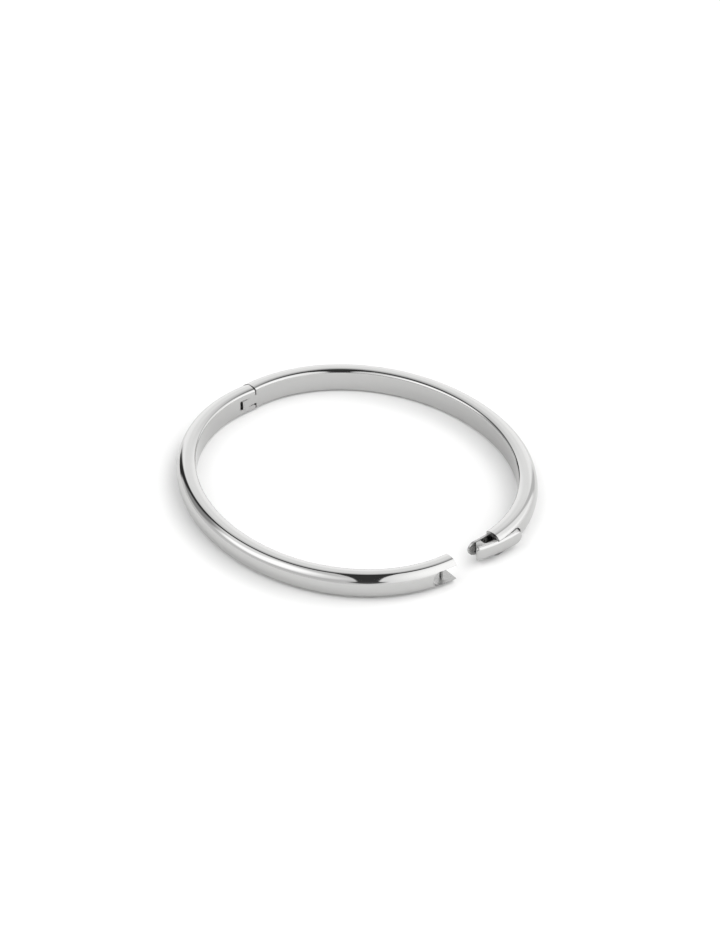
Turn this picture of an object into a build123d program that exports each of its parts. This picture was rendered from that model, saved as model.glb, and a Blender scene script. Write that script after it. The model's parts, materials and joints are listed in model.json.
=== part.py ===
from build123d import *
import math
import os

# Hinged oval bangle with a lever snap clasp.  Millimetres, +Z up.
# The pieces are drawn closed: oval centre at x = y = 0, hinge at -X, clasp at +X, band mid-height at z = 0.
# They are then swung to the stored pose, slightly open, and stood with the lower rim on z = 0.

# ---- driving dimensions ----
inner_length = 58.0          # inside the oval, hinge to clasp
inner_width = 49.0           # inside the oval, across
band_height = 4.6
band_thickness = 3.45
stored_opening = 9.0         # degrees between the halves as stored
stored_lever_angle = 12.0    # degrees the lever stands open as stored
end_gap = 0.10               # between the two halves' end faces when closed

# band section
dome_radius = 3.43           # gently domed outer face
dome_half_angle = 18.7
rim_slope_radius = 2.3       # the rim falls gently towards the wrist
rim_slope_angle = 21.0
wrist_edge_radius = 0.5

# hinge
hinge_pin_radius = 0.4
hinge_depth = 2.1            # pin axis, outward from the inner wall
knuckle_height = 1.76
knuckle_slot_height = 1.84
knuckle_radius = 1.85        # reach of the knuckle past the pin axis
ear_reach = 1.45             # reach of the two ears past the pin axis
hinge_clearance = 0.07
ear_corner_radius = 0.35
pin_running_clearance = 0.04
pin_top_cover = 0.5          # rim left over the pin's blind upper end

# clasp; lengths are measured along the band from lever_half's end face, ahead (towards socket_half) or behind
slot_height = 2.86
slot_length = 4.9            # in socket_half, with a half-round closed end
recess_length = 5.85         # in lever_half, with a half-round closed end
recess_floor = 0.70          # inner wall left under the recess
tongue_inner_face = 0.04
tongue_thickness = 0.42
tongue_height = 2.72
tongue_ahead = 4.3
tongue_behind = 2.0
pivot_behind = 0.65
pivot_depth = 2.0            # outward from the inner wall
pivot_radius = 0.22
pivot_pin_top = 1.8          # blind upper end; the lower end is flush with the lower rim
pivot_clearance = 0.03
catch_ahead = 1.7
catch_depth = 1.05
catch_radius = 0.3
catch_pin_length = 3.8

# lever
cover_height = 2.75
cover_thickness = 0.5
cover_ahead = 4.15
cover_behind = 5.5
cover_front_corner = 0.6
hook_height = 2.6
hook_ahead = 4.0
hook_behind = 4.9
hook_rear_depth = 1.95
hook_boss_radius = 0.5       # metal round the pivot
nose_past_pin = 0.0          # the nose reaches this far past the catch pin's axis
nose_gap = 0.2               # between the nose and the catch pin when closed
nose_root = 0.35             # slanted root of the nose in the throat
nose_width = 1.0             # flat tip of the nose
nose_tip_fall = 0.1          # the tip falls away from the tongue towards its front
nose_front_rise = 1.45       # height of the sloping front of the nose
throat_depth = 2.25          # outward from the inner wall
throat_corner = 0.25

# spring
spring_width = 1.6
spring_thickness = 0.12
spring_rise = 0.16
spring_front = 1.7
spring_rear = 4.5
spring_lift = 0.02           # gap under the leaf's ends

clasp_arc = 25.0             # degrees of oval either side of the clasp that strips cover
hinge_patch = 15.0           # degrees of oval either side of the hinge pin

# ---- derived dimensions ----
inner_a = inner_length / 2
inner_b = inner_width / 2
half_height = band_height / 2
hinge_x = -(inner_a + hinge_depth)
end_curve_radius = inner_b**2 / inner_a
dome_angle = math.radians(dome_half_angle)
slope_angle = math.radians(rim_slope_angle)
shoulder_radius = (half_height - dome_radius * math.sin(dome_angle)) / (1 - math.sin(dome_angle))
shoulder_out = band_thickness - dome_radius + (dome_radius - shoulder_radius) * math.cos(dome_angle)
shoulder_z = half_height - shoulder_radius
rim_in = wrist_edge_radius * (1 - math.sin(slope_angle)) + rim_slope_radius * math.sin(slope_angle)
slope_end = (wrist_edge_radius * (1 - math.sin(slope_angle)),
             half_height - rim_slope_radius * (1 - math.cos(slope_angle)))
wrist_edge_z = slope_end[1] - wrist_edge_radius * math.cos(slope_angle)
far = 200.0                  # larger than the whole bangle, for cutting blocks


def rim_outline():
    """Upper half of the band section, from the outermost point to the inner wall.
    First coordinate is outward from the inner wall, second is height."""
    s, c = math.sin, math.cos
    dome_out = band_thickness - dome_radius
    mid_dome = dome_angle / 2
    mid_shoulder = (dome_angle + math.pi / 2) / 2
    mid_slope = slope_angle / 2
    mid_edge = (math.pi / 2 + slope_angle) / 2
    dome_end = (dome_out + dome_radius * c(dome_angle), dome_radius * s(dome_angle))
    dome = ThreePointArc(
        (band_thickness, 0),
        (dome_out + dome_radius * c(mid_dome), dome_radius * s(mid_dome)),
        dome_end)
    shoulder = ThreePointArc(
        dome_end,
        (shoulder_out + shoulder_radius * c(mid_shoulder), shoulder_z + shoulder_radius * s(mid_shoulder)),
        (shoulder_out, half_height))
    land = Line((shoulder_out, half_height), (rim_in, half_height))
    slope = ThreePointArc(
        (rim_in, half_height),
        (rim_in - rim_slope_radius * s(mid_slope), half_height - rim_slope_radius * (1 - c(mid_slope))),
        slope_end)
    edge = ThreePointArc(
        slope_end,
        (wrist_edge_radius * (1 - s(mid_edge)), wrist_edge_z + wrist_edge_radius * c(mid_edge)),
        (0, wrist_edge_z))
    return [dome, shoulder, land, slope, edge]


def band_section():
    """Full band section as a face in the XY plane: X is outward, Y is height."""
    upper = rim_outline()
    lower = [mirror(edge, about=Plane.XZ) for edge in upper]
    wall = Line((0, wrist_edge_z), (0, -wrist_edge_z))
    return make_face(Curve() + upper + lower + wall)


def along_band(face, start_angle, end_angle):
    """Sweep a section face along the inner oval between two angles, counter-clockwise from +X."""
    path = EllipticalCenterArc((0, 0), inner_a, inner_b, start_angle=start_angle,
                               arc_size=end_angle - start_angle)
    tangent = path % 0
    outward = tangent.cross(Vector(0, 0, 1))
    return sweep(Plane(origin=path @ 0, x_dir=outward, z_dir=tangent) * face, path=path)


def strip_section(depth_from, depth_to, height):
    """Rectangular section between two depths outward from the inner wall."""
    return Pos((depth_from + depth_to) / 2, 0) * Rectangle(depth_to - depth_from, height)


def block(x_range, y_range, z_range):
    """Axis-aligned block between pairs of coordinates."""
    size = [hi - lo for lo, hi in (x_range, y_range, z_range)]
    middle = [(hi + lo) / 2 for lo, hi in (x_range, y_range, z_range)]
    return Pos(*middle) * Box(*size)


def post(x, y, radius, z_from, z_to):
    """Upright cylinder."""
    return Pos(x, y, (z_from + z_to) / 2) * Cylinder(radius, z_to - z_from)


def wall_x(ahead):
    """x of the inner wall near the clasp, this far along the band from the oval's end."""
    return inner_a - ahead**2 / (2 * end_curve_radius)


def round_ended_prism(height, y_front, y_round, round_low=True):
    """Prism along X over the clasp, seen from outside: one straight end and one half-round end."""
    radius = height / 2
    inward = 1 if round_low else -1
    centre_y = y_round + inward * radius
    straight = block((0, far), (min(centre_y, y_front), max(centre_y, y_front)), (-radius, radius))
    end = Pos(far / 2, centre_y, 0) * Rot(0, 90, 0) * Cylinder(radius, far)
    return straight + end


def swing(shape, angle):
    """Turn a shape about the hinge pin."""
    return Pos(hinge_x, 0, 0) * Rot(0, 0, angle) * Pos(-hinge_x, 0, 0) * shape


lower_half = along_band(band_section(), 180, 360)
upper_half = along_band(band_section(), 0, 180)
pivot_x = wall_x(pivot_behind) + pivot_depth
pivot_y = pivot_behind
catch_x = wall_x(catch_ahead) + catch_depth
catch_y = -catch_ahead


def clasp_strip(depth_from, depth_to, height):
    """Strip that follows the band across the clasp."""
    return along_band(strip_section(depth_from, depth_to, height), -clasp_arc, clasp_arc)


# ---- hinge ----
def hinge_ring():
    """Plain band across the hinge."""
    return along_band(band_section(), 180 - hinge_patch, 180 + hinge_patch)


def hinge_reach(radius, side):
    """Plan region that a hinge member fills past the pin: flat-ended towards the wrist, round outside.
    side is +1 for a reach towards +Y and -1 towards -Y."""
    y_range = (0, radius) if side > 0 else (-radius, 0)
    flat_end = block((hinge_x, 0), y_range, (-far, far))
    return flat_end + post(hinge_x, 0, radius, -far, far)


def ear_corner(side):
    """What rounding takes off the corner of the upper (+1) or lower (-1) hinge ear beside the knuckle."""
    y_centre = ear_reach - ear_corner_radius
    z_centre = side * (knuckle_slot_height / 2 + ear_corner_radius)
    z_edge = side * (knuckle_slot_height / 2 - ear_corner_radius)
    corner = block((-far, 0), (y_centre, knuckle_radius), (min(z_edge, z_centre), max(z_edge, z_centre)))
    return corner - Pos(0, y_centre, z_centre) * Rot(0, 90, 0) * Cylinder(ear_corner_radius, 2 * far)


def make_hinge_ends(lower, upper):
    """Fork on the lower half, centre knuckle on the upper half."""
    knuckle_slot = block((-far, 0), (-far, far), (-knuckle_slot_height / 2, knuckle_slot_height / 2))
    ring_patch = hinge_ring()
    fork = (ring_patch & hinge_reach(ear_reach, 1)) - knuckle_slot - ear_corner(1) - ear_corner(-1)
    slot_cut = knuckle_slot & hinge_reach(knuckle_radius + hinge_clearance, -1)
    knuckle_block = block((-far, 0), (-far, far), (-knuckle_height / 2, knuckle_height / 2))
    knuckle = ring_patch & hinge_reach(knuckle_radius, -1) & knuckle_block
    ear_room = hinge_reach(ear_reach + hinge_clearance, 1) - knuckle_block
    socket_end = (lower - slot_cut) + fork
    lever_end = (upper - ear_room) + knuckle
    return socket_end, lever_end


socket_half, lever_half = make_hinge_ends(lower_half, upper_half)
pin_top = half_height - pin_top_cover
hinge_pin = post(hinge_x, 0, hinge_pin_radius, -band_height, pin_top) & hinge_ring()
socket_half -= post(hinge_x, 0, hinge_pin_radius, -band_height, pin_top)
lever_half -= post(hinge_x, 0, hinge_pin_radius + pin_running_clearance, -band_height, band_height)

# ---- clasp ends ----
clasp_side = (inner_a / 2, far)
socket_half -= block(clasp_side, (-end_gap / 2, 1), (-far, far))
lever_half -= block(clasp_side, (-1, end_gap / 2), (-far, far))
socket_half -= round_ended_prism(slot_height, 1, -slot_length)
recess = round_ended_prism(slot_height, -1, recess_length, round_low=False)
lever_half -= recess & clasp_strip(recess_floor, 2 * band_thickness, band_height)
tongue_seat = block(clasp_side, (-1, tongue_behind), (-tongue_height / 2, tongue_height / 2))
lever_half -= tongue_seat & clasp_strip(-1, recess_floor + 0.1, band_height)

catch_pin = post(catch_x, catch_y, catch_radius, -catch_pin_length / 2, catch_pin_length / 2)
socket_half -= catch_pin

lever_pivot_pin = post(pivot_x, pivot_y, pivot_radius, -band_height, pivot_pin_top) \
    & along_band(band_section(), -clasp_arc, clasp_arc)
lever_half -= post(pivot_x, pivot_y, pivot_radius, -band_height, pivot_pin_top)


# ---- tongue ----
def make_tongue():
    """Curved plate flush with the inner wall, round-ended, let into lever_half."""
    outline = round_ended_prism(tongue_height, tongue_behind, -tongue_ahead)
    return clasp_strip(tongue_inner_face, tongue_inner_face + tongue_thickness, band_height) & outline


clasp_tongue = make_tongue()


# ---- lever ----
def make_lever_cover():
    """Domed outer skin that fills the clasp opening flush with the band."""
    ring = along_band(band_section(), -clasp_arc, clasp_arc)
    outline = round_ended_prism(cover_height, -cover_ahead, cover_behind, round_low=False)
    front_edges = outline.edges().filter_by(Axis.X).group_by(Axis.Y)[0]
    outline = fillet(front_edges, cover_front_corner)
    skin = clasp_strip(band_thickness - cover_thickness, band_thickness + 1, cover_height + 1)
    return ring & outline & skin


def make_lever_hook():
    """Body under the cover: bored for the pivot, with a throat and nose for the catch pin."""
    under_cover = band_thickness - cover_thickness
    body = clasp_strip(recess_floor, under_cover, hook_height)
    nose_x = catch_x - nose_past_pin
    nose_y = catch_y - catch_radius - nose_gap
    tip_end_y = nose_y - nose_width
    throat_x = wall_x(0) + throat_depth
    rear_x = wall_x(hook_behind) + hook_rear_depth
    boss_x = pivot_x - hook_boss_radius
    plan = Polyline(
        (far, hook_behind), (rear_x, hook_behind),
        (boss_x, pivot_y + hook_boss_radius), (boss_x, pivot_y), (throat_x, pivot_y - hook_boss_radius),
        (throat_x, nose_y + nose_root), (throat_x - nose_root, nose_y),
        (nose_x, nose_y), (nose_x + nose_tip_fall, tip_end_y),
        (nose_x + nose_front_rise, -hook_ahead), (far, -hook_ahead), close=True)
    solid = extrude(Pos(0, 0, -hook_height / 2) * make_face(plan), hook_height)
    corners = [edge for edge in solid.edges().filter_by(Axis.Z)
               if edge.center().X < throat_x + throat_corner and edge.center().Y < pivot_y]
    solid = fillet(corners, throat_corner / 2)
    bore = post(pivot_x, pivot_y, pivot_radius + pivot_clearance, -far, far)
    return (body & solid) - bore


lever_cover = make_lever_cover()
lever_hook = make_lever_hook()


# ---- spring ----
def make_spring():
    """Bowed leaf lying on the recess floor under the lever's rear."""
    floor = wall_x(spring_rear) + recess_floor + spring_lift
    front_x = wall_x(spring_front) + recess_floor + spring_lift
    middle_y = (spring_front + spring_rear) / 2
    bow = (front_x + floor) / 2 + spring_rise
    under = ThreePointArc((front_x, spring_front), (bow, middle_y), (floor, spring_rear))
    over = ThreePointArc((front_x + spring_thickness, spring_front), (bow + spring_thickness, middle_y),
                         (floor + spring_thickness, spring_rear))
    ends = [Line(under @ 0, over @ 0), Line(under @ 1, over @ 1)]
    return extrude(Pos(0, 0, -spring_width / 2) * make_face(Curve() + under + over + ends), spring_width)


lever_spring = make_spring()


# ---- stored pose ----
def open_lever(shape):
    """Turn a lever piece about its pivot from flush to its stored angle."""
    return Pos(pivot_x, pivot_y, 0) * Rot(0, 0, -stored_lever_angle) * Pos(-pivot_x, -pivot_y, 0) * shape


half_swing = stored_opening / 2
pieces = {
    "socket_half": swing(socket_half, -half_swing),
    "catch_pin": swing(catch_pin, -half_swing),
    "hinge_pin": hinge_pin,
    "lever_half": swing(lever_half, half_swing),
    "clasp_tongue": swing(clasp_tongue, half_swing),
    "lever_pivot_pin": swing(lever_pivot_pin, half_swing),
    "lever_spring": swing(lever_spring, half_swing),
    "lever_cover": swing(open_lever(lever_cover), half_swing),
    "lever_hook": swing(open_lever(lever_hook), half_swing),
}
whole = Compound(children=[Compound(piece.solids()) for piece in pieces.values()]).bounding_box()
stand = Vector(-(whole.min.X + whole.max.X) / 2, -(whole.min.Y + whole.max.Y) / 2, -whole.min.Z)

os.makedirs("parts", exist_ok=True)
for name, piece in pieces.items():
    export_step(Pos(stand) * piece, f"parts/{name}.step")

pivot = swing(Vertex(pivot_x, pivot_y, 0), half_swing).center() + stand
land = swing(Vertex(0, inner_b + (rim_in + shoulder_out) / 2, 0), half_swing).center() + stand
print("hinge pin at", round(hinge_x + stand.X, 4), round(stand.Y, 4))
print("lower rim land at", round(land.X, 4), round(land.Y, 4))
print("lever pivot at", round(pivot.X, 4), round(pivot.Y, 4))
print("whole size", whole.size)
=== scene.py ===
import json
import math

import bpy
import bmesh
import numpy as np
from mathutils import Matrix, Vector
from mathutils.kdtree import KDTree

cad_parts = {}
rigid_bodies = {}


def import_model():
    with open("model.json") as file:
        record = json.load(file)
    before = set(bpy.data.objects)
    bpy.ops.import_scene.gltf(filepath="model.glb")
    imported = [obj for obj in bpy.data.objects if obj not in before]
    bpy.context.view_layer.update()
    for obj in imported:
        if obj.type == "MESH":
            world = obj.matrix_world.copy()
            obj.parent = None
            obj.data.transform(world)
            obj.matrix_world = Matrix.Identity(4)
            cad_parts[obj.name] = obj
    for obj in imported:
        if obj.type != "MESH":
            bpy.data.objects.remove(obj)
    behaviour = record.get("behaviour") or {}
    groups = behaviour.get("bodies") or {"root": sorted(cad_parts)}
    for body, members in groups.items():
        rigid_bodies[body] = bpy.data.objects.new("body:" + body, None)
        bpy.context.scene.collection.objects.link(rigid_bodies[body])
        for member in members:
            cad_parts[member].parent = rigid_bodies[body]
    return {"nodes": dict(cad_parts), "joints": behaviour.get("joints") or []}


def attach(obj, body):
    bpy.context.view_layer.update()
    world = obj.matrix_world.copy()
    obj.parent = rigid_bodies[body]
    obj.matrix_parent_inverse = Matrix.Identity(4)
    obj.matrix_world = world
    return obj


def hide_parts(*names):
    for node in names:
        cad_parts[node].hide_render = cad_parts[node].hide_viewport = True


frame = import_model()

# Hinged oval bangle with a lever snap clasp.
# The visible pieces are worked in millimetres on the closed bangle, with the oval's centre at the origin,
# the hinge at -X, the clasp at +X and mid-height at z = 0.  place() then moves them to the stored pose.

for starter in [o for o in bpy.data.objects if o.name in ("Cube", "Camera", "Light")]:
    bpy.data.objects.remove(starter)
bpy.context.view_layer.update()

MM = 0.001
NODES = frame["nodes"]
JOINTS = {joint["name"]: joint for joint in frame["joints"]}

# ---- sizes of the metalwork, in millimetres ----
HALF_LENGTH = 29.0
HALF_WIDTH = 24.5
BAND_HEIGHT = 4.6
BAND_THICKNESS = 3.45
STORED_OPENING = 9.0
STORED_LEVER_ANGLE = 12.0
END_GAP = 0.10

DOME_RADIUS = 3.43
DOME_ANGLE = math.radians(18.7)
RIM_RADIUS = 2.3
RIM_ANGLE = math.radians(21.0)
WRIST_EDGE_RADIUS = 0.5

HINGE_DEPTH = 2.1
KNUCKLE_HEIGHT = 1.76
KNUCKLE_SLOT_HEIGHT = 1.84
KNUCKLE_RADIUS = 1.85
EAR_REACH = 1.45
HINGE_CLEARANCE = 0.07
EAR_CORNER = 0.35

SLOT_HEIGHT = 2.86
SLOT_LENGTH = 4.9
RECESS_LENGTH = 5.85
RECESS_FLOOR = 0.70
TONGUE_FACE = 0.04
TONGUE_THICKNESS = 0.42
TONGUE_HEIGHT = 2.72
TONGUE_AHEAD = 4.3
TONGUE_BEHIND = 2.0
PIVOT_BEHIND = 0.65
PIVOT_DEPTH = 2.0
PIVOT_RADIUS = 0.22
CATCH_AHEAD = 1.7
CATCH_DEPTH = 1.05
CATCH_RADIUS = 0.3
CATCH_LENGTH = 3.8

COVER_HEIGHT = 2.75
COVER_THICKNESS = 0.5
COVER_AHEAD = 4.15
COVER_BEHIND = 5.5
COVER_FRONT_CORNER = 0.6
COVER_EDGE_ROUND = 0.45
COVER_MERGE = 2e-4
COVER_SHARP_ANGLE = 40.0
HOOK_HEIGHT = 2.6
HOOK_AHEAD = 4.0
HOOK_BEHIND = 4.9
HOOK_REAR_DEPTH = 1.95
HOOK_BOSS_RADIUS = 0.5
NOSE_GAP = 0.2
NOSE_ROOT = 0.35
NOSE_WIDTH = 1.0
NOSE_TIP_FALL = 0.1
NOSE_FRONT_RISE = 1.45
THROAT_DEPTH = 2.25
THROAT_CORNER = 0.25

# ---- fineness of the meshes ----
BAND_STEPS = 360
SECTION_STEP = 0.09
ARC_STEPS = 40
FAR = 12.0

# ---- worked-out sizes ----
HALF_HEIGHT = BAND_HEIGHT / 2
HINGE_X = -(HALF_LENGTH + HINGE_DEPTH)
END_CURVE = HALF_WIDTH ** 2 / HALF_LENGTH
SHOULDER_RADIUS = (HALF_HEIGHT - DOME_RADIUS * math.sin(DOME_ANGLE)) / (1 - math.sin(DOME_ANGLE))
SHOULDER_OUT = BAND_THICKNESS - DOME_RADIUS + (DOME_RADIUS - SHOULDER_RADIUS) * math.cos(DOME_ANGLE)
SHOULDER_Z = HALF_HEIGHT - SHOULDER_RADIUS
RIM_IN = WRIST_EDGE_RADIUS * (1 - math.sin(RIM_ANGLE)) + RIM_RADIUS * math.sin(RIM_ANGLE)
WRIST_EDGE_Z = HALF_HEIGHT - RIM_RADIUS * (1 - math.cos(RIM_ANGLE)) - WRIST_EDGE_RADIUS * math.cos(RIM_ANGLE)


def wall_x(ahead):
    """x of the inner wall near the clasp, this far along the band from the oval's end."""
    return HALF_LENGTH - ahead ** 2 / (2 * END_CURVE)


PIVOT = (wall_x(PIVOT_BEHIND) + PIVOT_DEPTH, PIVOT_BEHIND)
CATCH = (wall_x(CATCH_AHEAD) + CATCH_DEPTH, -CATCH_AHEAD)


# ---- band section ----
def arc(centre, radius, start, end, step=SECTION_STEP):
    """Points and outward normals of a circular arc; angles in radians."""
    count = max(4, int(abs(end - start) * radius / step) + 1)
    angles = np.linspace(start, end, count + 1)
    normals = np.stack([np.cos(angles), np.sin(angles)], 1)
    return np.array(centre) + radius * normals, normals


def upper_section(step=SECTION_STEP):
    """Section from the outermost point over the rim to the inner wall: points and normals."""
    half = math.pi / 2
    parts = [
        arc((BAND_THICKNESS - DOME_RADIUS, 0), DOME_RADIUS, 0, DOME_ANGLE, step),
        arc((SHOULDER_OUT, SHOULDER_Z), SHOULDER_RADIUS, DOME_ANGLE, half, step),
        arc((RIM_IN, HALF_HEIGHT - RIM_RADIUS), RIM_RADIUS, half, half + RIM_ANGLE, step),
        arc((WRIST_EDGE_RADIUS, WRIST_EDGE_Z), WRIST_EDGE_RADIUS, half + RIM_ANGLE, math.pi, step / 2)]
    points = np.concatenate([part[0] for part in parts])
    normals = np.concatenate([part[1] for part in parts])
    wall_z = np.linspace(WRIST_EDGE_Z, 0, 8)[1:]
    wall = np.stack([np.zeros_like(wall_z), wall_z], 1)
    wall_normals = np.tile([-1.0, 0.0], (len(wall_z), 1))
    return np.concatenate([points, wall]), np.concatenate([normals, wall_normals])


def whole_section(step=SECTION_STEP):
    """The closed section, upper half and its mirror below."""
    points, normals = upper_section(step)
    keep = np.concatenate([[True], np.linalg.norm(np.diff(points, axis=0), axis=1) > 1e-6])
    points, normals = points[keep], normals[keep]
    flip = np.array([1, -1])
    lower = points[1:-1][::-1] * flip
    lower_normals = normals[1:-1][::-1] * flip
    return np.concatenate([points, lower]), np.concatenate([normals, lower_normals])


# ---- small mesh tools ----
def link(name, mesh):
    """A new object in the scene."""
    piece = bpy.data.objects.new(name, mesh)
    bpy.context.scene.collection.objects.link(piece)
    return piece


def drop(*pieces):
    """Remove working objects."""
    for piece in pieces:
        bpy.data.objects.remove(piece)


def baked(piece):
    """The piece's mesh with its modifiers worked in."""
    bpy.context.view_layer.update()
    depsgraph = bpy.context.evaluated_depsgraph_get()
    return bpy.data.meshes.new_from_object(piece.evaluated_get(depsgraph))


def prism(outline, low, high, axis="Z"):
    """Closed prism on an outline.  Along Z the outline is (x, y); along X it is (y, z)."""
    work = bmesh.new()
    rings = []
    for level in (low, high):
        if axis == "Z":
            rings.append([work.verts.new((a, b, level)) for a, b in outline])
        else:
            rings.append([work.verts.new((level, a, b)) for a, b in outline])
    work.faces.new(rings[0])
    work.faces.new(rings[1])
    count = len(outline)
    for i in range(count):
        j = (i + 1) % count
        work.faces.new((rings[0][i], rings[0][j], rings[1][j], rings[1][i]))
    return finished(work)


def finished(work):
    """Turn a bmesh into a mesh with its faces outward."""
    bmesh.ops.remove_doubles(work, verts=work.verts, dist=1e-5)
    bmesh.ops.recalc_face_normals(work, faces=work.faces)
    mesh = bpy.data.meshes.new("work")
    work.to_mesh(mesh)
    work.free()
    return mesh


def boolean(piece, cutters, operation="DIFFERENCE"):
    """Work a list of cutter meshes into the piece, one after another."""
    for cutter_mesh in cutters:
        cutter = link("cutter", cutter_mesh)
        step = piece.modifiers.new("cut", "BOOLEAN")
        step.operation = operation
        step.solver = "EXACT"
        step.object = cutter
        mesh = baked(piece)
        piece.modifiers.clear()
        piece.data = mesh
        drop(cutter)
    return piece


def curve_points(centre, radius, start, end, count=ARC_STEPS):
    """Points along a circular arc; angles in degrees."""
    return [(centre[0] + radius * math.cos(math.radians(a)), centre[1] + radius * math.sin(math.radians(a)))
            for a in np.linspace(start, end, count)]


# ---- the band, swept by a node tree ----
def new_input(tree, name, kind, value=None):
    """Add a named input to a node tree."""
    socket = tree.interface.new_socket(name=name, in_out="INPUT", socket_type=kind)
    if value is not None:
        socket.default_value = value
    return socket


def math_node(tree, operation, first, second=None):
    """A math node fed by sockets or plain numbers."""
    node = tree.nodes.new("ShaderNodeMath")
    node.operation = operation
    for index, value in enumerate((first, second)):
        if value is None:
            continue
        if isinstance(value, (int, float)):
            node.inputs[index].default_value = value
        else:
            tree.links.new(value, node.inputs[index])
    return node.outputs[0]


def band_tree():
    """Node tree: carries a section curve round the oval between two angles."""
    tree = bpy.data.node_groups.new("band_round_oval", "GeometryNodeTree")
    new_input(tree, "Section", "NodeSocketObject")
    new_input(tree, "Half length", "NodeSocketFloat", HALF_LENGTH)
    new_input(tree, "Half width", "NodeSocketFloat", HALF_WIDTH)
    new_input(tree, "Start angle", "NodeSocketFloat", 0.0)
    new_input(tree, "Sweep angle", "NodeSocketFloat", math.pi)
    new_input(tree, "Steps", "NodeSocketInt", BAND_STEPS)
    new_input(tree, "Metal", "NodeSocketMaterial")
    tree.interface.new_socket(name="Geometry", in_out="OUTPUT", socket_type="NodeSocketGeometry")
    nodes, links = tree.nodes, tree.links
    inputs = nodes.new("NodeGroupInput").outputs
    line = nodes.new("GeometryNodeMeshLine")
    links.new(math_node(tree, "ADD", inputs["Steps"], 1), line.inputs["Count"])
    index = nodes.new("GeometryNodeInputIndex").outputs[0]
    share = math_node(tree, "DIVIDE", index, inputs["Steps"])
    angle = math_node(tree, "ADD", math_node(tree, "MULTIPLY", share, inputs["Sweep angle"]),
                      inputs["Start angle"])
    place_on = nodes.new("ShaderNodeCombineXYZ")
    links.new(math_node(tree, "MULTIPLY", math_node(tree, "COSINE", angle), inputs["Half length"]),
              place_on.inputs[0])
    links.new(math_node(tree, "MULTIPLY", math_node(tree, "SINE", angle), inputs["Half width"]),
              place_on.inputs[1])
    to_oval = nodes.new("GeometryNodeSetPosition")
    links.new(line.outputs["Mesh"], to_oval.inputs["Geometry"])
    links.new(place_on.outputs[0], to_oval.inputs["Position"])
    path = nodes.new("GeometryNodeMeshToCurve")
    links.new(to_oval.outputs["Geometry"], path.inputs["Mesh"])
    upright = nodes.new("GeometryNodeSetCurveNormal")
    upright.mode = "Z_UP"
    links.new(path.outputs["Curve"], upright.inputs["Curve"])
    section = nodes.new("GeometryNodeObjectInfo")
    links.new(inputs["Section"], section.inputs["Object"])
    sweep = nodes.new("GeometryNodeCurveToMesh")
    sweep.inputs["Fill Caps"].default_value = True
    links.new(upright.outputs["Curve"], sweep.inputs["Curve"])
    links.new(section.outputs["Geometry"], sweep.inputs["Profile Curve"])
    real = nodes.new("GeometryNodeRealizeInstances")
    links.new(sweep.outputs["Mesh"], real.inputs[0])
    metal = nodes.new("GeometryNodeSetMaterial")
    links.new(real.outputs[0], metal.inputs["Geometry"])
    links.new(inputs["Metal"], metal.inputs["Material"])
    links.new(metal.outputs["Geometry"], nodes.new("NodeGroupOutput").inputs[0])
    return tree


def section_curve(points):
    """A closed curve object on (outward, height) points."""
    curve = bpy.data.curves.new("section", "CURVE")
    curve.dimensions = "3D"
    spline = curve.splines.new("POLY")
    spline.points.add(len(points) - 1)
    for point, (out, up) in zip(spline.points, points):
        point.co = (out, up, 0, 1)
    spline.use_cyclic_u = True
    return link("section", curve)


def swept_band(tree, points, start, end, metal, steps=BAND_STEPS):
    """Mesh object of a section carried round the oval between two angles in degrees."""
    profile = section_curve(points)
    holder = link("band", bpy.data.meshes.new("band"))
    modifier = holder.modifiers.new("band", "NODES")
    modifier.node_group = tree
    values = {"Section": profile,
              "Start angle": math.radians(start), "Sweep angle": math.radians(end - start),
              "Steps": steps, "Half length": HALF_LENGTH, "Half width": HALF_WIDTH, "Metal": metal}
    for item in tree.interface.items_tree:
        if item.in_out == "INPUT":
            modifier[item.identifier] = values[item.name]
    mesh = baked(holder)
    holder.modifiers.clear()
    work = bmesh.new()
    work.from_mesh(mesh)
    holder.data = finished(work)
    drop(profile)
    return holder


# ---- exact normals for polished surfaces ----
def oval_frame(xy):
    """Depth outward from the inner wall and the outward direction, for points near the band."""
    angle = np.arctan2(xy[:, 1] / HALF_WIDTH, xy[:, 0] / HALF_LENGTH)
    for _ in range(12):
        c, s = np.cos(angle), np.sin(angle)
        px, py = HALF_LENGTH * c, HALF_WIDTH * s
        dx, dy = -HALF_LENGTH * s, HALF_WIDTH * c
        gap = (px - xy[:, 0]) * dx + (py - xy[:, 1]) * dy
        slope = dx * dx + dy * dy - (px - xy[:, 0]) * px - (py - xy[:, 1]) * py
        angle = angle - gap / slope
    c, s = np.cos(angle), np.sin(angle)
    out = np.stack([c / HALF_LENGTH, s / HALF_WIDTH], 1)
    out /= np.linalg.norm(out, axis=1)[:, None]
    depth = (xy[:, 0] - HALF_LENGTH * c) * out[:, 0] + (xy[:, 1] - HALF_WIDTH * s) * out[:, 1]
    return depth, out


def section_lookup():
    """Finder for the nearest point of a finely divided section."""
    points, normals = whole_section(0.004)
    finder = KDTree(len(points))
    for i, (out, up) in enumerate(points):
        finder.insert((out, up, 0), i)
    finder.balance()
    return finder, normals


SECTION_FINDER, SECTION_NORMALS = section_lookup()


def band_normals(mesh, near=0.012):
    """Exact band-surface normal for each vertex, and which vertices lie on that surface."""
    count = len(mesh.vertices)
    points = np.empty(count * 3)
    mesh.vertices.foreach_get("co", points)
    points = points.reshape(-1, 3)
    depth, out = oval_frame(points[:, :2])
    normals = np.zeros((count, 3))
    on_band = np.zeros(count, bool)
    for i in range(count):
        _, index, distance = SECTION_FINDER.find((depth[i], points[i, 2], 0))
        outward, up = SECTION_NORMALS[index]
        normals[i] = (out[i, 0] * outward, out[i, 1] * outward, up)
        on_band[i] = distance < near
    return normals, on_band


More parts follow.
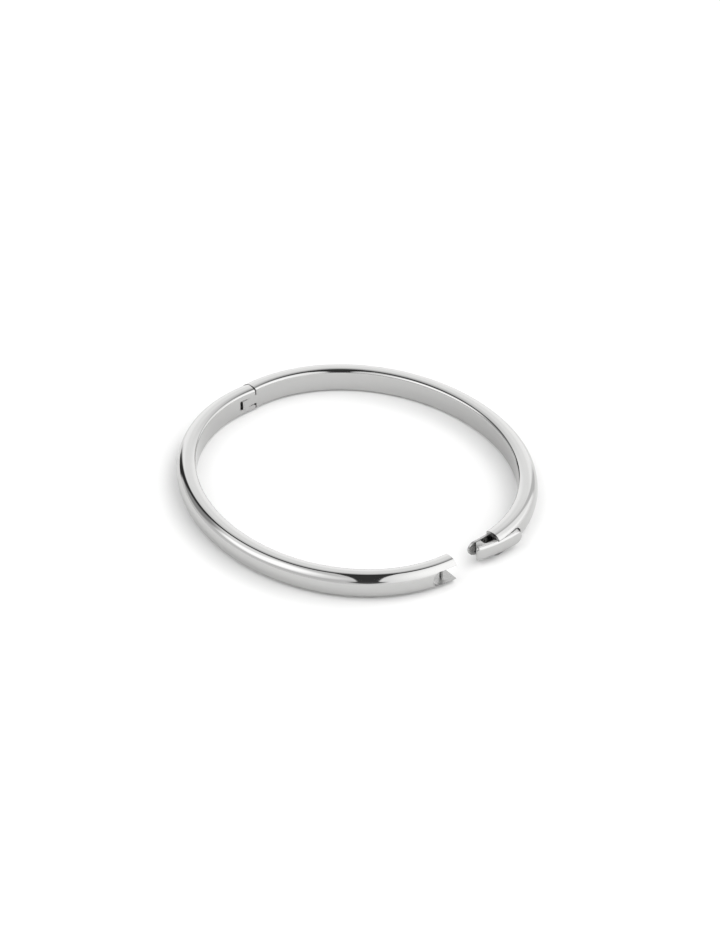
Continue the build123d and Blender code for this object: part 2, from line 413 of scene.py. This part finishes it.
def polish(mesh, sharp_angle=30.0, agree=0.94):
    """Shade smooth with exact normals on the band's own surface; also says which faces are cuts."""
    normals, on_band = band_normals(mesh)
    mesh.shade_smooth()
    mesh.set_sharp_from_angle(angle=math.radians(sharp_angle))
    corner = [tuple(n.vector) for n in mesh.corner_normals]
    cut = np.ones(len(mesh.polygons), bool)
    for face in mesh.polygons:
        direction = face.normal
        for loop_index in face.loop_indices:
            vertex = mesh.loops[loop_index].vertex_index
            exact = normals[vertex]
            if on_band[vertex] and direction.dot(exact) > agree:
                corner[loop_index] = tuple(exact)
                cut[face.index] = False
    return corner, cut


# ---- poses ----
def about(x, y, degrees):
    """Turn about an upright axis."""
    return Matrix.Translation((x, y, 0)) @ Matrix.Rotation(math.radians(degrees), 4, "Z") \
        @ Matrix.Translation((-x, -y, 0))


def to_row():
    """Closed bangle in millimetres to the stored frame in metres, before either half is swung."""
    hinge = Vector(JOINTS["bangle_hinge"]["pos_m"])
    return Matrix.Translation(hinge) @ Matrix.Diagonal((MM, MM, MM, 1)) @ Matrix.Translation((-HINGE_X, 0, 0))


SWING = {
    "socket_side": about(HINGE_X, 0, -STORED_OPENING / 2),
    "lever_side": about(HINGE_X, 0, STORED_OPENING / 2),
}
SWING["lever"] = SWING["lever_side"] @ about(*PIVOT, -STORED_LEVER_ANGLE)


def place(name, mesh, body, metal, corners=None):
    """Move a closed-frame mesh to its stored place and make it a piece of that body."""
    matrix = to_row() @ SWING[body]
    turn = SWING[body].to_3x3()
    mesh.transform(matrix)
    if corners is not None:
        mesh.normals_split_custom_set([(turn @ Vector(c)).normalized() for c in corners])
    mesh.materials.clear()
    mesh.materials.append(metal)
    mesh.name = name
    piece = link(name, mesh)
    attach(piece, body)
    return piece


# ---- hinge ends ----
def hinge_outline(radius, side):
    """Plan of all that lies past a hinge member's end: flat towards the wrist, round outside."""
    start = 90 if side > 0 else -90
    end = 180 if side > 0 else -180
    return [(HINGE_X + FAR, side * radius)] + curve_points((HINGE_X, 0), radius, start, end) \
        + [(HINGE_X - FAR / 2, 0)]


def past_end(radius, side):
    """Plan beyond the end of a hinge member that reaches to that side."""
    return hinge_outline(radius, side) + [(HINGE_X - FAR / 2, side * FAR), (HINGE_X + FAR, side * FAR)]


def room_for(radius, side):
    """Plan that must be clear for a hinge member reaching to that side."""
    return hinge_outline(radius, side) + [(HINGE_X - FAR / 2, -side * FAR), (HINGE_X + FAR, -side * FAR)]


def ear_corner(side):
    """Prism that rounds the inner corner of the upper or lower ear."""
    y = EAR_REACH - EAR_CORNER
    z = KNUCKLE_SLOT_HEIGHT / 2 + EAR_CORNER
    outline = [(EAR_REACH + 0.1, KNUCKLE_SLOT_HEIGHT / 2 - 0.1), (EAR_REACH + 0.1, z)]
    outline += curve_points((y, z), EAR_CORNER, 0, -90, 12) + [(y, KNUCKLE_SLOT_HEIGHT / 2 - 0.1)]
    return prism([(a, b * side) for a, b in outline], HINGE_X - FAR / 2, HINGE_X + FAR / 2, axis="X")


def round_ended(height, straight_y, round_y):
    """Outline (y, z) with a straight end and a half-round end."""
    radius = height / 2
    away = 1 if round_y > straight_y else -1
    centre = round_y - away * radius
    start = -90 * away
    return [(straight_y, away * radius), (straight_y, -away * radius)] \
        + curve_points((centre, 0), radius, start, start + 180)


def box_prism(x, y, z):
    """Plain block between pairs of coordinates."""
    return prism([(x[0], y[0]), (x[1], y[0]), (x[1], y[1]), (x[0], y[1])], z[0], z[1])


def follows_band(outline_half_height, y_points, low, high):
    """Closed solid along the clasp whose inner and outer faces follow the band at two depths."""
    work = bmesh.new()
    rings = []
    for y in y_points:
        half = outline_half_height(y)
        ring = []
        for depth, z in ((low, -half), (high, -half), (high, half), (low, half)):
            ring.append(work.verts.new((depth_x(y, depth), y, z)))
        rings.append(ring)
    for first, second in zip(rings, rings[1:]):
        for i in range(4):
            j = (i + 1) % 4
            work.faces.new((first[i], first[j], second[j], second[i]))
    work.faces.new(rings[0])
    work.faces.new(rings[-1])
    return finished(work)


def depth_x(y, depth):
    """x of the point at this y and this depth outward from the inner wall, near the clasp."""
    angle = math.asin(y / HALF_WIDTH)
    for _ in range(20):
        out_x, out_y = math.cos(angle) / HALF_LENGTH, math.sin(angle) / HALF_WIDTH
        size = math.hypot(out_x, out_y)
        angle = math.asin((y - depth * out_y / size) / HALF_WIDTH)
    return HALF_LENGTH * math.cos(angle) + depth * out_x / size


def end_half_height(height, round_y, away):
    """Half-height of a half-round-ended opening at each y."""
    radius = height / 2
    centre = round_y - away * radius

    def half(y):
        past = (y - centre) * away
        return radius if past <= 0 else math.sqrt(max(radius ** 2 - past ** 2, 1e-6))
    return half


def make_socket_half(tree, metal, brushed):
    """Half with the hinge fork and the slotted clasp end."""
    section, _ = whole_section()
    band = swept_band(tree, section, 165, 362, metal)
    slot = round_ended(SLOT_HEIGHT, 1, -SLOT_LENGTH)
    boolean(band, [
        prism(past_end(EAR_REACH, 1), -FAR, FAR),
        prism(room_for(KNUCKLE_RADIUS + HINGE_CLEARANCE, -1),
              -KNUCKLE_SLOT_HEIGHT / 2, KNUCKLE_SLOT_HEIGHT / 2),
        ear_corner(1),
        ear_corner(-1),
        box_prism((20, 45), (-END_GAP / 2, 9), (-FAR, FAR)),
        prism(slot, 20, 45, axis="X"),
    ])
    return finish_band(band, "socket_half", "socket_side", metal, brushed)


def make_lever_half(tree, metal, brushed):
    """Half with the hinge knuckle and the recess that the lever turns in."""
    section, _ = whole_section()
    band = swept_band(tree, section, -2, 195, metal)
    ear_room = room_for(EAR_REACH + HINGE_CLEARANCE, 1)
    recess_y = list(np.linspace(-1, RECESS_LENGTH - SLOT_HEIGHT / 2, 16))
    recess_y += [RECESS_LENGTH - SLOT_HEIGHT / 2 * (1 - math.sin(a))
                 for a in np.linspace(0.04, math.pi / 2, 24)]
    seat_y = list(np.linspace(-1, TONGUE_BEHIND, 10))
    boolean(band, [
        prism(past_end(KNUCKLE_RADIUS, -1), -FAR, FAR),
        prism(ear_room, KNUCKLE_HEIGHT / 2, FAR),
        prism(ear_room, -FAR, -KNUCKLE_HEIGHT / 2),
        box_prism((20, 45), (-9, END_GAP / 2), (-FAR, FAR)),
        follows_band(end_half_height(SLOT_HEIGHT, RECESS_LENGTH, 1), recess_y, RECESS_FLOOR, 8),
        follows_band(lambda y: TONGUE_HEIGHT / 2, seat_y, -2, RECESS_FLOOR + 0.2),
    ])
    return finish_band(band, "lever_half", "lever_side", metal, brushed)


def finish_band(band, node, body, metal, brushed):
    """Polish a half, brush its cut faces, and put it in place of its plain node."""
    mesh = band.data
    corners, cut = polish(mesh)
    drop(band)
    piece = place(node + "_polished", mesh, body, metal, corners)
    mesh.materials.append(brushed)
    mesh.polygons.foreach_set("material_index", cut.astype(np.int32))
    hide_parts(node)
    return piece


# ---- lever ----
def outer_depth(z):
    """Depth of the band's outer face at this height."""
    z = abs(z)
    if z <= DOME_RADIUS * math.sin(DOME_ANGLE):
        return BAND_THICKNESS - DOME_RADIUS + math.sqrt(DOME_RADIUS ** 2 - z ** 2)
    return SHOULDER_OUT + math.sqrt(SHOULDER_RADIUS ** 2 - (z - SHOULDER_Z) ** 2)


def cover_rim(inset):
    """Outline (y, z) of the cover, this far in from its edge."""
    half = COVER_HEIGHT / 2
    corner = COVER_FRONT_CORNER - inset
    y = -COVER_AHEAD + COVER_FRONT_CORNER
    z = half - COVER_FRONT_CORNER
    rear = COVER_BEHIND - half
    points = curve_points((y, z), corner, 90, 180, 14)
    points += [(y - corner, k) for k in np.linspace(z, -z, 10)[1:-1]]
    points += curve_points((y, -z), corner, 180, 270, 14)
    points += [(k, inset - half) for k in np.linspace(y, rear, 60)[1:-1]]
    points += curve_points((rear, 0), half - inset, -90, 90, 36)
    points += [(k, half - inset) for k in np.linspace(rear, y, 60)[1:-1]]
    return points


def make_cover(metal):
    """Domed cover, nearly flush with the band when shut, with well rounded edges."""
    turns = np.linspace(0, math.pi / 2, 9)
    rings = [(0.0, None)] + [(COVER_EDGE_ROUND * (1 - math.cos(a)), COVER_EDGE_ROUND * (1 - math.sin(a)))
                             for a in turns]
    work = bmesh.new()
    layers = []
    for inset, fall in rings:
        layer = []
        for y, z in cover_rim(inset):
            depth = BAND_THICKNESS - COVER_THICKNESS if fall is None else outer_depth(z) - fall
            layer.append(work.verts.new((depth_x(y, depth), y, z)))
        layers.append(layer)
    last = cover_rim(COVER_EDGE_ROUND)
    spine_low, spine_high = -COVER_AHEAD + COVER_HEIGHT / 2, COVER_BEHIND - COVER_HEIGHT / 2
    for share in np.linspace(0, 1, 9)[1:]:
        layer = []
        for y, z in last:
            spine = min(max(y, spine_low), spine_high)
            py, pz = y + (spine - y) * share, z * (1 - share)
            layer.append(work.verts.new((depth_x(py, outer_depth(pz)), py, pz)))
        layers.append(layer)
    count = len(last)
    for lower, upper in zip(layers, layers[1:]):
        for i in range(count):
            j = (i + 1) % count
            work.faces.new((lower[i], lower[j], upper[j], upper[i]))
    work.faces.new(layers[0])
    bmesh.ops.remove_doubles(work, verts=work.verts, dist=COVER_MERGE)
    mesh = finished(work)
    smooth_machined(mesh, COVER_SHARP_ANGLE)
    piece = place("lever_cover_domed", mesh, "lever", metal)
    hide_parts("lever_cover")
    return piece


def bevelled(mesh, width, segments=3, angle=35.0):
    """Break the sharp edges of a machined piece."""
    piece = link("work", mesh)
    step = piece.modifiers.new("bevel", "BEVEL")
    step.width = width
    step.segments = segments
    step.limit_method = "ANGLE"
    step.angle_limit = math.radians(angle)
    step.harden_normals = False
    result = baked(piece)
    drop(piece)
    return result


def smooth_machined(mesh, sharp_angle=28.0):
    """Smooth shading with sharp edges kept."""
    mesh.shade_smooth()
    mesh.set_sharp_from_angle(angle=math.radians(sharp_angle))


def make_tongue(metal):
    """Curved round-ended plate that guides the socket half home."""
    radius = TONGUE_HEIGHT / 2
    low, high = TONGUE_FACE, TONGUE_FACE + TONGUE_THICKNESS
    centre = -TONGUE_AHEAD + radius
    y_points = [centre - radius * math.cos(a) for a in np.linspace(0.03, math.pi / 2, 24)]
    y_points += list(np.linspace(centre, TONGUE_BEHIND, 22)[1:])
    mesh = follows_band(end_half_height(TONGUE_HEIGHT, -TONGUE_AHEAD, -1), y_points, low, high)
    mesh = bevelled(mesh, 0.05, angle=50.0)
    smooth_machined(mesh, 24.0)
    piece = place("clasp_tongue_plate", mesh, "lever_side", metal)
    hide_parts("clasp_tongue")
    return piece


def rounded(corners, index, radius, count=8):
    """Points that round one corner of an outline."""
    before, here, after = (Vector(corners[(index + k) % len(corners)]) for k in (-1, 0, 1))
    one, two = (before - here).normalized(), (after - here).normalized()
    half = one.angle(two) / 2
    reach = radius / math.tan(half)
    centre = here + (one + two).normalized() * (radius / math.sin(half))
    first, last = here + one * reach - centre, here + two * reach - centre
    start = math.atan2(first.y, first.x)
    sweep = math.atan2(first.x * last.y - first.y * last.x, first.dot(last))
    return [(centre.x + radius * math.cos(start + sweep * t), centre.y + radius * math.sin(start + sweep * t))
            for t in np.linspace(0, 1, count)]


def make_hook(metal):
    """Body of the lever: pivot boss, throat and nose for the catch pin."""
    under_cover = BAND_THICKNESS - COVER_THICKNESS
    nose_x = CATCH[0]
    nose_y = CATCH[1] - CATCH_RADIUS - NOSE_GAP
    throat_x = HALF_LENGTH + THROAT_DEPTH
    boss_x = PIVOT[0] - HOOK_BOSS_RADIUS
    plan = [(wall_x(HOOK_BEHIND) + HOOK_REAR_DEPTH, HOOK_BEHIND),
            (boss_x, PIVOT[1] + HOOK_BOSS_RADIUS), (boss_x, PIVOT[1]),
            (throat_x, PIVOT[1] - HOOK_BOSS_RADIUS),
            (throat_x, nose_y + NOSE_ROOT), (throat_x - NOSE_ROOT, nose_y), (nose_x, nose_y),
            (nose_x + NOSE_TIP_FALL, nose_y - NOSE_WIDTH), (nose_x + NOSE_FRONT_RISE, -HOOK_AHEAD)]
    outline = []
    for i, corner in enumerate(plan):
        outline += rounded(plan, i, THROAT_CORNER / 2) if 0 < i < 8 else [corner]
    back_y = np.linspace(-HOOK_AHEAD, HOOK_BEHIND, 30)
    outline += [(depth_x(y, under_cover), y) for y in back_y]
    mesh = prism(outline, -HOOK_HEIGHT / 2, HOOK_HEIGHT / 2)
    bore = prism(curve_points(PIVOT, PIVOT_RADIUS + 0.03, 0, 350, 36), -FAR, FAR)
    piece = link("work", mesh)
    boolean(piece, [bore])
    mesh = bevelled(piece.data, 0.035, 2, 50.0)
    drop(piece)
    smooth_machined(mesh)
    piece = place("lever_hook_body", mesh, "lever", metal)
    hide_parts("lever_hook")
    return piece


def turned_pin(name, node, centre, radius, low, high, body, metal, chamfer=0.05):
    """Turned pin with chamfered ends."""
    rings = [(radius - chamfer, low), (radius, low + chamfer),
             (radius, high - chamfer), (radius - chamfer, high)]
    work = bmesh.new()
    circles = []
    for r, z in rings:
        circles.append([work.verts.new((x, y, z)) for x, y in curve_points(centre, r, 0, 352.5, 48)])
    for lower, upper in zip(circles, circles[1:]):
        for i in range(48):
            j = (i + 1) % 48
            work.faces.new((lower[i], lower[j], upper[j], upper[i]))
    work.faces.new(circles[0])
    work.faces.new(circles[-1])
    mesh = finished(work)
    smooth_machined(mesh)
    piece = place(name, mesh, body, metal)
    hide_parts(node)
    return piece


scene = bpy.context.scene


def main():
    """Build every piece, the stage and the camera."""
    tree = band_tree()
    metal = polished_metal()
    brushed = brushed_metal()
    make_socket_half(tree, metal, brushed)
    make_lever_half(tree, metal, brushed)
    make_cover(metal)
    make_tongue(brushed)
    make_hook(brushed)
    turned_pin("catch_pin_turned", "catch_pin", CATCH, CATCH_RADIUS, -CATCH_LENGTH / 2, CATCH_LENGTH / 2,
               "socket_side", brushed)
    for node in ("hinge_pin", "lever_pivot_pin", "lever_spring"):
        NODES[node].data.materials.clear()
        NODES[node].data.materials.append(brushed)
    make_stage()
    make_world()
    make_key_light()
    make_camera()


# ---- finishes ----
HAZE_SCALE = (220, 220, 160)
WEAR_SCALE = (1400, 1400, 900)
SCRATCHES_ROUND = (5200, 420, 2600)
SCRATCHES_ACROSS = (520, 4700, 2300)
BRUSHING_SCALE = (14000, 1500, 9000)
BLOTCH_SCALE = (1600, 1600, 1600)
POLISH_DARK = (0.505, 0.505, 0.503, 1)
POLISH_LIGHT = (0.535, 0.533, 0.527, 1)
BRUSHED_DARK = (0.33, 0.33, 0.328, 1)
BRUSHED_LIGHT = (0.52, 0.52, 0.515, 1)


def new_material(name):
    """A node material and its shader."""
    material = bpy.data.materials.new(name)
    material.use_nodes = True
    return material, material.node_tree, material.node_tree.nodes["Principled BSDF"]


def texture(tree, kind, scale, **inputs):
    """A procedural texture on object coordinates, stretched by a scale for each axis."""
    where = tree.nodes.new("ShaderNodeTexCoord").outputs["Object"]
    mapping = tree.nodes.new("ShaderNodeMapping")
    mapping.inputs["Scale"].default_value = scale
    tree.links.new(where, mapping.inputs["Vector"])
    node = tree.nodes.new(kind)
    tree.links.new(mapping.outputs[0], node.inputs["Vector"])
    for name, value in inputs.items():
        node.inputs[name.replace("_", " ")].default_value = value
    return node


def bump(tree, height, strength, distance, below=None):
    """Bump from a height, over another normal if one is given."""
    node = tree.nodes.new("ShaderNodeBump")
    node.inputs["Strength"].default_value = strength
    node.inputs["Distance"].default_value = distance
    tree.links.new(height, node.inputs["Height"])
    if below is not None:
        tree.links.new(below, node.inputs["Normal"])
    return node.outputs[0]


def tint(tree, share, dark, light, shader):
    """Colour between a darker and a lighter tone of the metal."""
    colour = tree.nodes.new("ShaderNodeMix")
    colour.data_type = "RGBA"
    colour.inputs[6].default_value = dark
    colour.inputs[7].default_value = light
    tree.links.new(share, colour.inputs[0])
    tree.links.new(colour.outputs[2], shader.inputs["Base Color"])


def hairlines(tree, scale, low, high):
    """Sparse thin lines: the narrow crests of a stretched noise."""
    noise = texture(tree, "ShaderNodeTexNoise", scale, Scale=1.0, Detail=1.0)
    away = math_node(tree, "ABSOLUTE", math_node(tree, "SUBTRACT", noise.outputs["Fac"], 0.5))
    return ramp(tree, away, low, high, 1.0, 0.0)


def polished_metal():
    """Mirror-polished silver-tone steel: faint haze, wipe marks and hairline scratches."""
    material, tree, shader = new_material("polished_silver_steel")
    shader.inputs["Metallic"].default_value = 1.0
    shader.inputs["Specular Tint"].default_value = (1, 1, 1, 1)
    haze = texture(tree, "ShaderNodeTexNoise", HAZE_SCALE, Scale=1.0, Detail=4.0, Roughness=0.6)
    wear = texture(tree, "ShaderNodeTexNoise", WEAR_SCALE, Scale=1.0, Detail=3.0, Roughness=0.7)
    scratches = hairlines(tree, SCRATCHES_ROUND, 0.0, 0.0035)
    crossing = hairlines(tree, SCRATCHES_ACROSS, 0.0, 0.003)
    lines = math_node(tree, "MAXIMUM", scratches, crossing)
    rough = ramp(tree, haze.outputs["Fac"], 0.3, 0.7, 0.025, 0.055)
    rough = math_node(tree, "ADD", rough, ramp(tree, wear.outputs["Fac"], 0.55, 0.85, 0.0, 0.02))
    rough = math_node(tree, "ADD", rough, math_node(tree, "MULTIPLY", lines, 0.06))
    tree.links.new(rough, shader.inputs["Roughness"])
    tint(tree, haze.outputs["Fac"], POLISH_DARK, POLISH_LIGHT, shader)
    ripple = bump(tree, haze.outputs["Fac"], 0.04, 0.000005)
    tree.links.new(bump(tree, lines, 0.15, 0.000001, ripple), shader.inputs["Normal"])
    return material


def brushed_metal():
    """Finely brushed steel of the clasp's inner parts and cut faces."""
    material, tree, shader = new_material("brushed_clasp_steel")
    shader.inputs["Metallic"].default_value = 1.0
    grain = texture(tree, "ShaderNodeTexNoise", BRUSHING_SCALE, Scale=1.0, Detail=3.0, Roughness=0.7)
    blotch = texture(tree, "ShaderNodeTexNoise", BLOTCH_SCALE, Scale=1.0, Detail=3.0, Roughness=0.65)
    rough = ramp(tree, blotch.outputs["Fac"], 0.3, 0.7, 0.22, 0.40)
    tree.links.new(rough, shader.inputs["Roughness"])
    tint(tree, grain.outputs["Fac"], BRUSHED_DARK, BRUSHED_LIGHT, shader)
    worn = bump(tree, blotch.outputs["Fac"], 0.35, 0.00006)
    tree.links.new(bump(tree, grain.outputs["Fac"], 0.45, 0.00001, worn), shader.inputs["Normal"])
    return material


# ---- stage, light and camera ----
CAMERA_AZIMUTH = math.radians(48.75)
CAMERA_ELEVATION = math.radians(37.08)
CAMERA_DISTANCE = 0.6
CAMERA_LENS = 129.35
CAMERA_SHIFT = (0.00540, 0.00148)
TABLE_REACH = 3.0
TABLE_DROP = 0.00002
TABLE_WHITE = (0.93, 0.93, 0.927, 1)
KEY_STRENGTH = 0.34
KEY_SPREAD = 26.0
KEY_SIDE = 125.0
KEY_HEIGHT = 48.0
OVERHEAD_LEFT = 0.86
OVERHEAD_RIGHT = 1.45
GAP_HALF_WIDTH = 0.100
GAP_FADED_WIDTH = 0.125
GAP_DARKNESS = 0.06


def make_camera():
    """Camera above the clasp's near side."""
    camera = bpy.data.cameras.new("camera")
    camera.lens = CAMERA_LENS
    camera.sensor_width = 36.0
    camera.shift_x, camera.shift_y = CAMERA_SHIFT
    camera.clip_start = 0.05
    camera.clip_end = 50.0
    holder = bpy.data.objects.new("camera", camera)
    scene.collection.objects.link(holder)
    a, e = CAMERA_AZIMUTH, CAMERA_ELEVATION
    back = Vector((math.sin(a) * math.cos(e), -math.cos(a) * math.cos(e), math.sin(e)))
    aim = to_row() @ Vector((0, 0, 0))
    holder.location = aim + back * CAMERA_DISTANCE
    holder.rotation_euler = (-back).to_track_quat("-Z", "Y").to_euler()
    scene.camera = holder


def make_stage():
    """Plain pale table top."""
    corners = [(-TABLE_REACH, -TABLE_REACH, 0), (TABLE_REACH, -TABLE_REACH, 0),
               (TABLE_REACH, TABLE_REACH, 0), (-TABLE_REACH, TABLE_REACH, 0)]
    mesh = bpy.data.meshes.new("table_top")
    mesh.from_pydata(corners, [], [(0, 1, 2, 3)])
    floor = link("table_top", mesh)
    floor.location.z = -TABLE_DROP
    material, _, shader = new_material("white_table")
    shader.inputs["Base Color"].default_value = TABLE_WHITE
    shader.inputs["Roughness"].default_value = 0.9
    shader.inputs["Specular IOR Level"].default_value = 0.0
    mesh.materials.append(material)


def world_math(tree, operation, *values):
    """A math node in the world tree."""
    node = tree.nodes.new("ShaderNodeMath")
    node.operation = operation
    for index, value in enumerate(values):
        if isinstance(value, (int, float)):
            node.inputs[index].default_value = value
        else:
            tree.links.new(value, node.inputs[index])
    return node.outputs[0]


def ramp(tree, value, low, high, first=0.0, last=1.0, smooth=True):
    """Clamped ramp from first to last as value goes from low to high."""
    node = tree.nodes.new("ShaderNodeMapRange")
    node.interpolation_type = "SMOOTHSTEP" if smooth else "LINEAR"
    node.clamp = True
    node.inputs["From Min"].default_value = low
    node.inputs["From Max"].default_value = high
    node.inputs["To Min"].default_value = first
    node.inputs["To Max"].default_value = last
    tree.links.new(value, node.inputs["Value"])
    return node.outputs[0]


def mixed(tree, base, value, mask):
    """base where mask is 0, value where it is 1."""
    node = tree.nodes.new("ShaderNodeMix")
    node.data_type = "FLOAT"
    for index, source in ((0, mask), (2, base), (3, value)):
        if isinstance(source, (int, float)):
            node.inputs[index].default_value = source
        else:
            tree.links.new(source, node.inputs[index])
    return node.outputs[0]


# Soft boxes, in degrees and strength: to the right of the near side, up, full radius, faded radius, strength.
LIGHT_PATCHES = (
    (88, 30, 26, 62, 1.80),
    (124, 36, 10, 28, 1.45),
    (146, 26, 6, 16, 0.80),
    (-48, 50, 10, 28, 1.35),
    (-80, 47, 15, 32, 1.95),
    (-112, 52, 6, 18, 1.30),
    (-122, 29, 9, 22, 0.42),
    (-140, 40, 6, 14, 0.16),
    (-141, 22, 5, 11, 0.10))
# The sheet behind, from low to high: degrees up and strength.
BACK_SHEET = ((30, 1.5), (50, 1.0), (65, 0.06))


def direction_parts(tree):
    """Rightward, backward and upward parts of a light direction, and its height in degrees."""
    where = tree.nodes.new("ShaderNodeTexCoord").outputs["Generated"]
    turn = tree.nodes.new("ShaderNodeVectorRotate")
    turn.rotation_type = "Z_AXIS"
    turn.inputs["Angle"].default_value = -CAMERA_AZIMUTH
    tree.links.new(where, turn.inputs["Vector"])
    split = tree.nodes.new("ShaderNodeSeparateXYZ")
    tree.links.new(turn.outputs[0], split.inputs[0])
    right, back, up = split.outputs
    height = world_math(tree, "MULTIPLY", world_math(tree, "ARCSINE", up), 180 / math.pi)
    return turn.outputs[0], right, back, up, height


def patch(tree, direction, side, lift, inner, outer):
    """Round soft patch: 1 inside the inner radius, 0 past the outer one."""
    s, h = math.radians(side), math.radians(lift)
    dot = tree.nodes.new("ShaderNodeVectorMath")
    dot.operation = "DOT_PRODUCT"
    tree.links.new(direction, dot.inputs[0])
    dot.inputs[1].default_value = (math.sin(s) * math.cos(h), -math.cos(s) * math.cos(h), math.sin(h))
    angle = world_math(tree, "MULTIPLY", world_math(tree, "ARCCOSINE", dot.outputs["Value"]), 180 / math.pi)
    return ramp(tree, angle, inner, outer, 1.0, 0.0)


def make_world():
    """White studio: bright sheet behind, soft boxes round about, dark gaps between them."""
    world = bpy.data.worlds.new("studio")
    scene.world = world
    world.use_nodes = True
    tree = world.node_tree
    direction, right, back, up, height = direction_parts(tree)
    # two overhead boxes with a dark gap between them
    glow = ramp(tree, right, -0.4, 0.45, OVERHEAD_LEFT, OVERHEAD_RIGHT)
    for side, lift, inner, outer, strength in LIGHT_PATCHES:
        glow = mixed(tree, glow, strength, patch(tree, direction, side, lift, inner, outer))
    horizon = ramp(tree, right, -0.2, 0.8, 1.0, 1.35)
    glow = mixed(tree, horizon, glow, ramp(tree, height, 4, 20))
    across = world_math(tree, "ABSOLUTE", right)
    slit = ramp(tree, across, GAP_HALF_WIDTH, GAP_FADED_WIDTH, 1.0, 0.0)
    slit = world_math(tree, "MULTIPLY", slit, ramp(tree, height, 15, 20))
    glow = mixed(tree, glow, GAP_DARKNESS, slit)
    glow = mixed(tree, glow, 0.10, patch(tree, direction, 0, 24, 7, 15))
    # arched back sheet
    ahead = world_math(tree, "MAXIMUM", back, 0.02)
    spread = world_math(tree, "DIVIDE", across, ahead)
    rise = world_math(tree, "MAXIMUM", world_math(tree, "DIVIDE", up, ahead), 0.0)
    edge = world_math(tree, "ADD",
                      world_math(tree, "POWER", world_math(tree, "DIVIDE", spread, 0.78), 3.0),
                      world_math(tree, "POWER", world_math(tree, "DIVIDE", rise, 2.4), 3.0))
    sheet = 0.05
    for (low_h, low_v), (high_h, high_v) in zip(BACK_SHEET[::-1][1:], BACK_SHEET[::-1]):
        sheet = mixed(tree, ramp(tree, height, low_h, high_h, low_v, high_v, smooth=False), sheet,
                      ramp(tree, height, high_h - 0.01, high_h, smooth=False))
    inside = ramp(tree, edge, 0.30, 0.80, 1.0, 0.0)
    beyond = ramp(tree, edge, 1.9, 3.4, 0.0, 1.0)
    gap = mixed(tree, ramp(tree, right, 0.10, 0.42, 0.04, 0.85), sheet, inside)
    gap = mixed(tree, gap, glow, beyond)
    glow = mixed(tree, glow, gap, ramp(tree, back, 0.0, 0.06))
    glow = mixed(tree, 1.0, glow, ramp(tree, up, -0.02, 0.0))
    background = tree.nodes["Background"]
    tree.links.new(glow, background.inputs["Strength"])
    background.inputs["Color"].default_value = (1, 1, 1, 1)
    scene.view_settings.view_transform = "Standard"


def make_key_light():
    """Broad key light from the right and behind, which gives the soft one-sided shadows."""
    lamp = bpy.data.lights.new("key_light", "SUN")
    lamp.energy = KEY_STRENGTH
    lamp.angle = math.radians(KEY_SPREAD)
    holder = bpy.data.objects.new("key_light", lamp)
    scene.collection.objects.link(holder)
    side = math.radians(KEY_SIDE) + CAMERA_AZIMUTH
    lift = math.radians(KEY_HEIGHT)
    towards = Vector((math.sin(side) * math.cos(lift), -math.cos(side) * math.cos(lift), math.sin(lift)))
    holder.rotation_euler = towards.to_track_quat("Z", "Y").to_euler()
    holder.visible_glossy = False


main()
